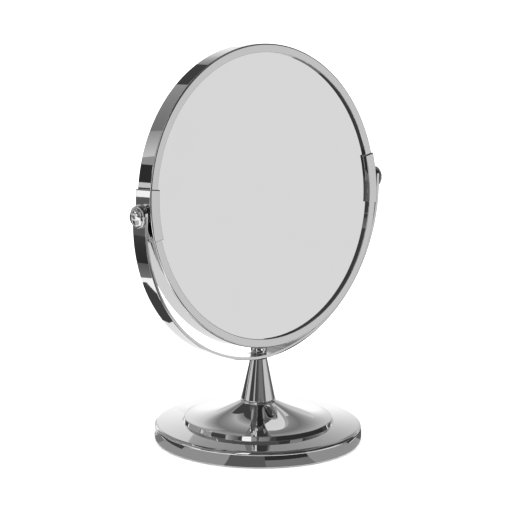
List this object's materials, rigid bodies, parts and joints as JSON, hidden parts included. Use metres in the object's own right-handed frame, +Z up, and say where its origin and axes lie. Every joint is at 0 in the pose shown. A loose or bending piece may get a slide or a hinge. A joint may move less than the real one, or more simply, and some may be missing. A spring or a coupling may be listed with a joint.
{
  "type": "table mirror",
  "caption": "Two-sided round mirror in a chrome rim, tilting between side knobs in a U-shaped yoke that swivels on a weighted round base.",
  "frame": {"origin": "on the table, at the middle of the round base", "axes": "+Z up along the stem; X along the two tilt pivots, with the right knob at +X; the plane glass faces -Y"},
  "size_m": [0.1996, 0.125, 0.2395],
  "materials": {
    "base_chrome": "polished chrome on pressed steel",
    "stem_chrome": "polished chrome",
    "nut_chrome": "polished chrome",
    "yoke_chrome": "polished chrome strip",
    "rim_chrome": "polished chrome strip",
    "clip_chrome": "polished chrome strip",
    "knob_chrome": "polished chrome",
    "plane_mirror": "silvered glass",
    "magnifying_mirror": "silvered glass, hollow ground",
    "grey_card": "grey board",
    "white_plastic": "moulded",
    "nylon": "black nylon",
    "brass": "turned",
    "zinc_steel": "zinc plated",
    "spring_steel": "hardened",
    "cast_iron": "as cast",
    "plate_steel": "black lacquer",
    "pad_rubber": "foam rubber"
  },
  "bodies": {
    "stand": {"base_pad": "pad_rubber", "base_plate": "plate_steel", "base_weight": "cast_iron", "base_shell": "base_chrome", "rod_nut": "zinc_steel", "rod_washer": "zinc_steel", "tie_rod": "zinc_steel", "stem": "stem_chrome", "thrust_washer": "nylon", "lock_washer": "spring_steel", "yoke_nut": "nut_chrome"},
    "swivel_yoke": {"yoke": "yoke_chrome", "left_pivot_bush": "nylon", "right_pivot_bush": "nylon", "left_spring_washer": "spring_steel", "right_spring_washer": "spring_steel"},
    "head": {"upper_rim": "rim_chrome", "lower_rim": "rim_chrome", "left_clip": "clip_chrome", "right_clip": "clip_chrome", "left_nut_plate": "brass", "right_nut_plate": "brass", "front_glass": "plane_mirror", "backing_card": "grey_card", "spacer_ring": "white_plastic", "rear_glass": "magnifying_mirror"},
    "left_thumbscrew": {"left_pivot_screw": "zinc_steel", "left_knob": "knob_chrome"},
    "right_thumbscrew": {"right_pivot_screw": "zinc_steel", "right_knob": "knob_chrome"}
  },
  "joints": [
    {"name": "yoke_swivel", "type": "hinge", "parent": "stand", "child": "swivel_yoke", "pos_m": [0, 0, 0.052], "axis": [0, 0, 1], "continuous": true},
    {"name": "head_tilt", "type": "hinge", "parent": "swivel_yoke", "child": "head", "pos_m": [0, 0, 0.1495], "axis": [1, 0, 0], "continuous": true},
    {"name": "left_knob_turn", "type": "hinge", "parent": "head", "child": "left_thumbscrew", "pos_m": [-0.095, 0, 0.1495], "axis": [-1, 0, 0], "range_deg": [0, 360]},
    {"name": "right_knob_turn", "type": "hinge", "parent": "head", "child": "right_thumbscrew", "pos_m": [0.095, 0, 0.1495], "axis": [1, 0, 0], "range_deg": [0, 360]}
  ]
}
